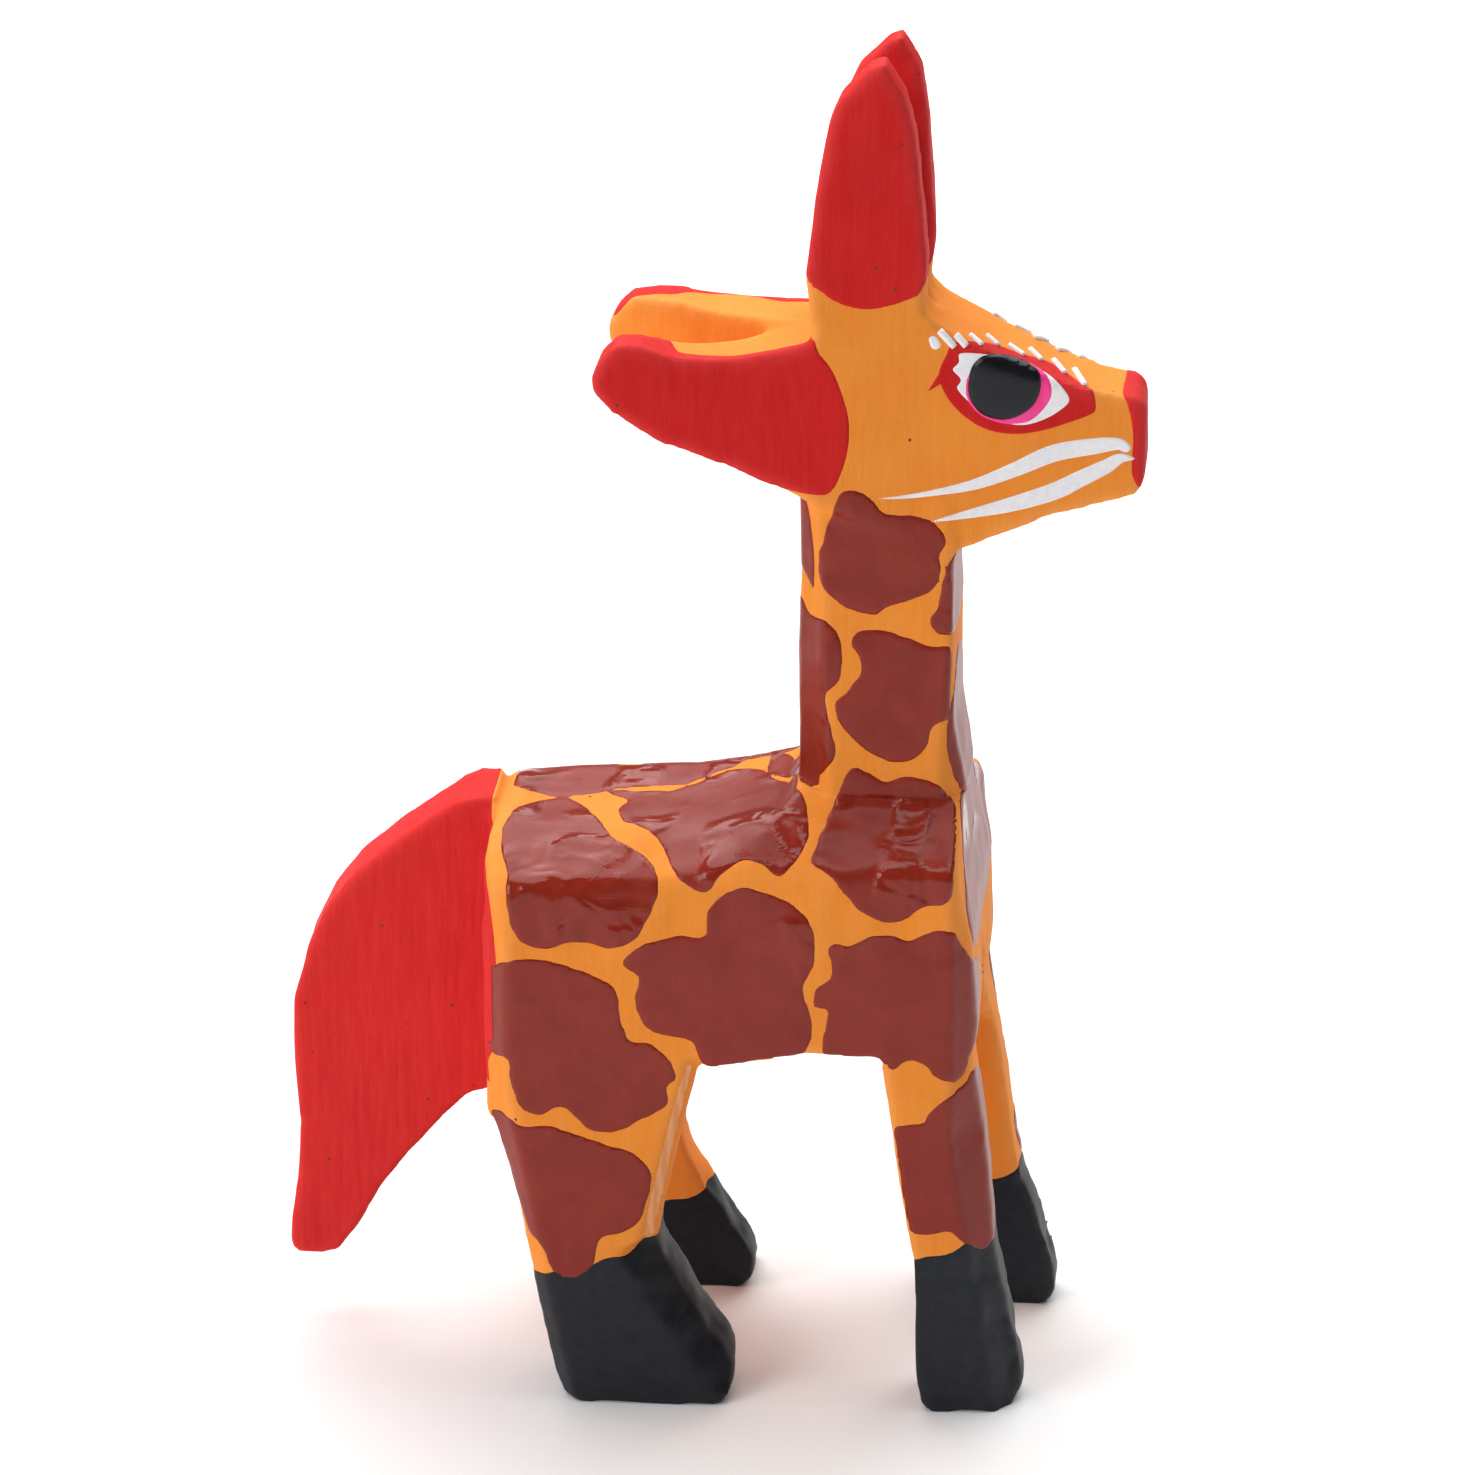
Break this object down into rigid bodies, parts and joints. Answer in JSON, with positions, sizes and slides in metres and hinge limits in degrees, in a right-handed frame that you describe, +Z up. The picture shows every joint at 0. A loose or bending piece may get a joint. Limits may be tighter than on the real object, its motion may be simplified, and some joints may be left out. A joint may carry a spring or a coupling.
{
  "type": "carved giraffe statue",
  "caption": "Small standing giraffe carved from blocks of light wood and painted by hand, with a glued upright neck-and-head board and a glued tail plate",
  "frame": {"origin": "centre of the bottom of the bounding box, on the plane of the four soles", "axes": "+X the way the giraffe faces, +Y its left side, +Z up"},
  "size_m": [0.076, 0.0289, 0.1245],
  "materials": {
    "orange_paint_on_wood": "matte hand-brushed orange paint with glossy brown spots, over knife-carved wood",
    "red_paint_on_wood": "matte hand-brushed red paint over knife-carved wood",
    "bare_wood": "bare turned dowel",
    "black_enamel": "thick drop of black enamel"
  },
  "bodies": {
    "root": {"torso": "orange_paint_on_wood", "neck_and_head": "orange_paint_on_wood", "tail": "red_paint_on_wood", "front_neck_dowel": "bare_wood", "rear_neck_dowel": "bare_wood", "upper_tail_dowel": "bare_wood", "lower_tail_dowel": "bare_wood", "right_pupil": "black_enamel", "left_pupil": "black_enamel"}
  },
  "joints": []
}
